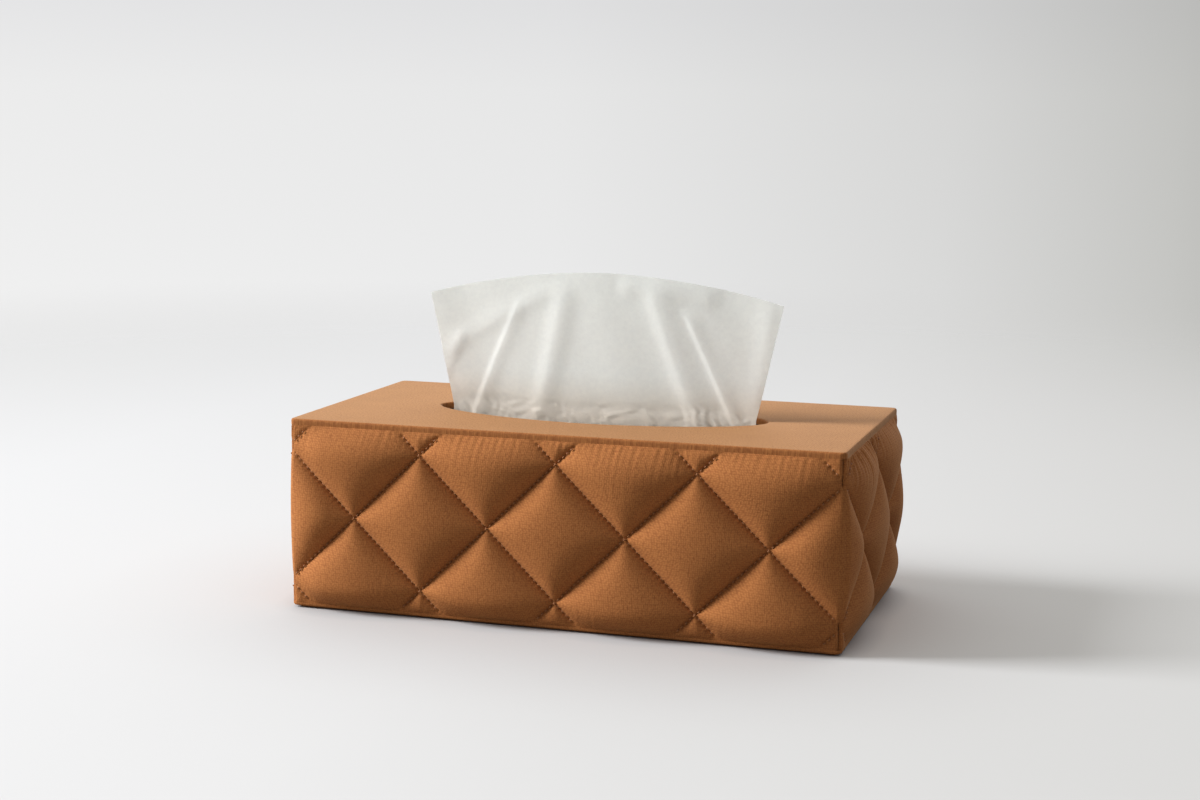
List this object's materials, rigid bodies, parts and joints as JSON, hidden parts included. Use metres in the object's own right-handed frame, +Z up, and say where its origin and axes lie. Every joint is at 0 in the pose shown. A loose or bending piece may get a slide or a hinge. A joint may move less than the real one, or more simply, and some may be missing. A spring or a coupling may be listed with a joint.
{
  "type": "quilted tissue box cover",
  "caption": "Diamond-quilted microfibre cover with an oval top slot, standing over a cardboard carton of tissues with one tissue pulled up.",
  "frame": {"origin": "middle of the base, on the surface that the hem stands on", "axes": "+X along the long side, to the right seen from the front; +Y from front to back; +Z up"},
  "size_m": [0.277, 0.15, 0.157],
  "materials": {
    "top_microfibre": "matt suede",
    "quilted_microfibre": "matt suede",
    "hem_microfibre": "matt suede",
    "grey_board": "matt",
    "lining_cloth": "plain weave",
    "carton_card": "matt",
    "clear_film": "clear",
    "tissue_paper": "soft"
  },
  "bodies": {
    "root": {"top_cover": "top_microfibre", "top_board": "grey_board", "front_quilt": "quilted_microfibre", "back_quilt": "quilted_microfibre", "left_quilt": "quilted_microfibre", "right_quilt": "quilted_microfibre", "front_board": "grey_board", "back_board": "grey_board", "left_board": "grey_board", "right_board": "grey_board", "lining": "lining_cloth", "bottom_binding": "hem_microfibre", "tissue_carton": "carton_card", "carton_film": "clear_film", "tissue_stack": "tissue_paper", "raised_tissue": "tissue_paper"}
  },
  "joints": []
}
